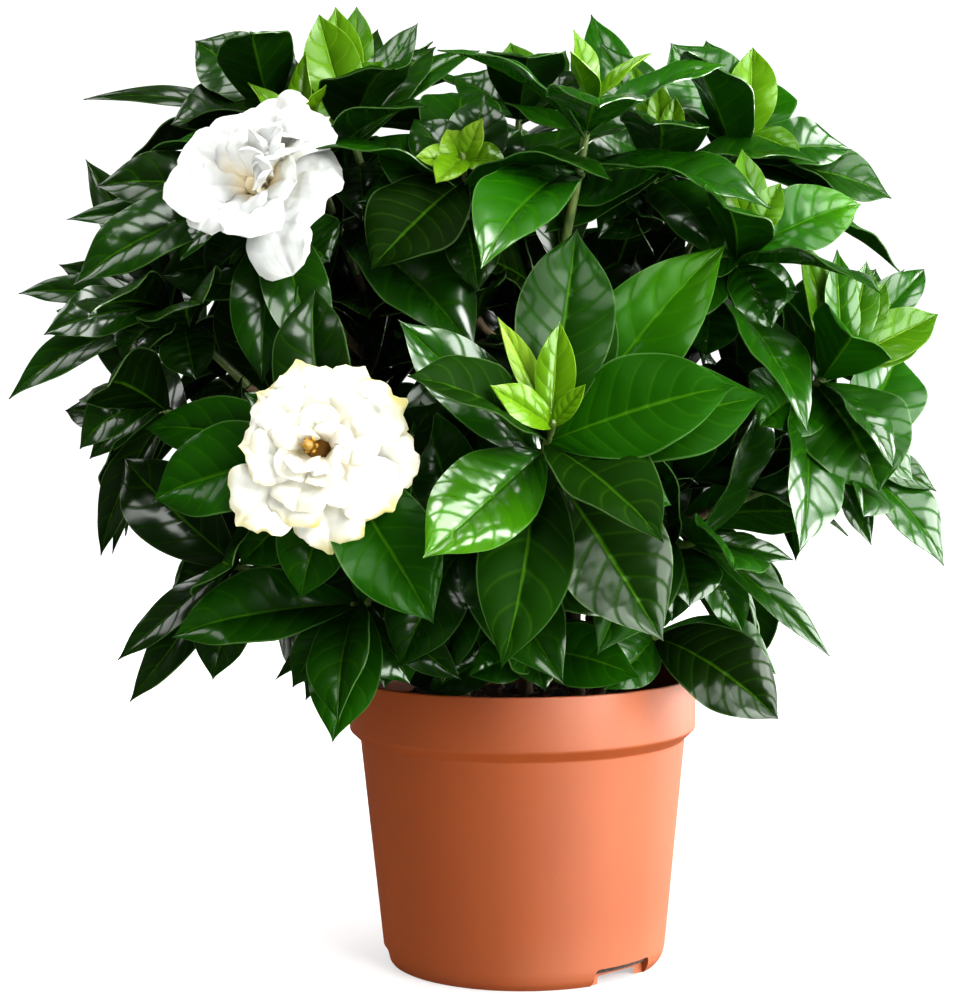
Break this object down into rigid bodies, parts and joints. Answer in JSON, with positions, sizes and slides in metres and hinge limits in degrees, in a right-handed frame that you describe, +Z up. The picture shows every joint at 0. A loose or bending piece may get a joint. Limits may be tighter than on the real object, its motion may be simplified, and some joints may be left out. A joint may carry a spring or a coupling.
{
  "type": "potted gardenia",
  "caption": "Bushy evergreen gardenia in a plain terracotta-coloured nursery pot, with glossy dark leaves, bright young tips and white ruffled flowers.",
  "frame": {"origin": "middle of the pot's underside, on the plane the pot stands on", "axes": "+Z up through the pot's axis, -Y towards the viewer who sees the larger flower, +X to that viewer's right"},
  "size_m": [0.3654, 0.3367, 0.3794],
  "materials": {
    "pot": "satin",
    "soil": "matte",
    "stem": "matte",
    "leaf": "gloss",
    "young_leaf": "satin",
    "petal": "satin",
    "bloom_centre": "matte"
  },
  "bodies": {
    "root": {"pot": "pot", "soil": "soil", "stem_left": "stem", "stem_middle": "stem", "stem_outer": "stem", "stem_right": "stem", "bloom_lower": "petal", "bloom_lower_centre": "bloom_centre", "bloom_upper": "petal", "tip_crest_left": "young_leaf", "tip_crest_mid": "young_leaf", "tip_crest_right": "young_leaf", "tip_far_1_1": "young_leaf", "tip_far_1_2": "young_leaf", "tip_far_1_3": "young_leaf", "tip_far_1_4": "young_leaf", "tip_far_2_1": "young_leaf", "tip_far_2_2": "young_leaf", "tip_far_2_3": "young_leaf", "tip_far_2_4": "young_leaf", "tip_far_2_5": "young_leaf", "tip_front": "young_leaf", "tip_right": "young_leaf", "tip_top_right": "young_leaf", "tip_upper_mid": "young_leaf", "tip_upper_right": "young_leaf", "shoot_bloom_lower": "leaf", "shoot_bloom_upper": "leaf", "shoot_crest_left": "leaf", "shoot_crest_mid": "leaf", "shoot_crest_right": "leaf", "shoot_far_1_1": "leaf", "shoot_far_1_2": "leaf", "shoot_far_1_3": "leaf", "shoot_far_1_4": "leaf", "shoot_far_2_1": "leaf", "shoot_far_2_2": "leaf", "shoot_far_2_3": "leaf", "shoot_far_2_4": "leaf", "shoot_far_2_5": "leaf", "shoot_far_3_1": "leaf", "shoot_far_3_2": "leaf", "shoot_far_3_3": "leaf", "shoot_far_3_4": "leaf", "shoot_far_left_top": "leaf", "shoot_front": "leaf", "shoot_hanging": "leaf", "shoot_inner_right": "leaf", "shoot_left": "leaf", "shoot_left_low": "leaf", "shoot_lower_left": "leaf", "shoot_lower_mid": "leaf", "shoot_lower_right": "leaf", "shoot_right": "leaf", "shoot_right_low": "leaf", "shoot_rim_right": "leaf", "shoot_soil_front": "leaf", "shoot_top_right": "leaf", "shoot_upper_mid": "leaf", "shoot_upper_right": "leaf"}
  },
  "joints": []
}
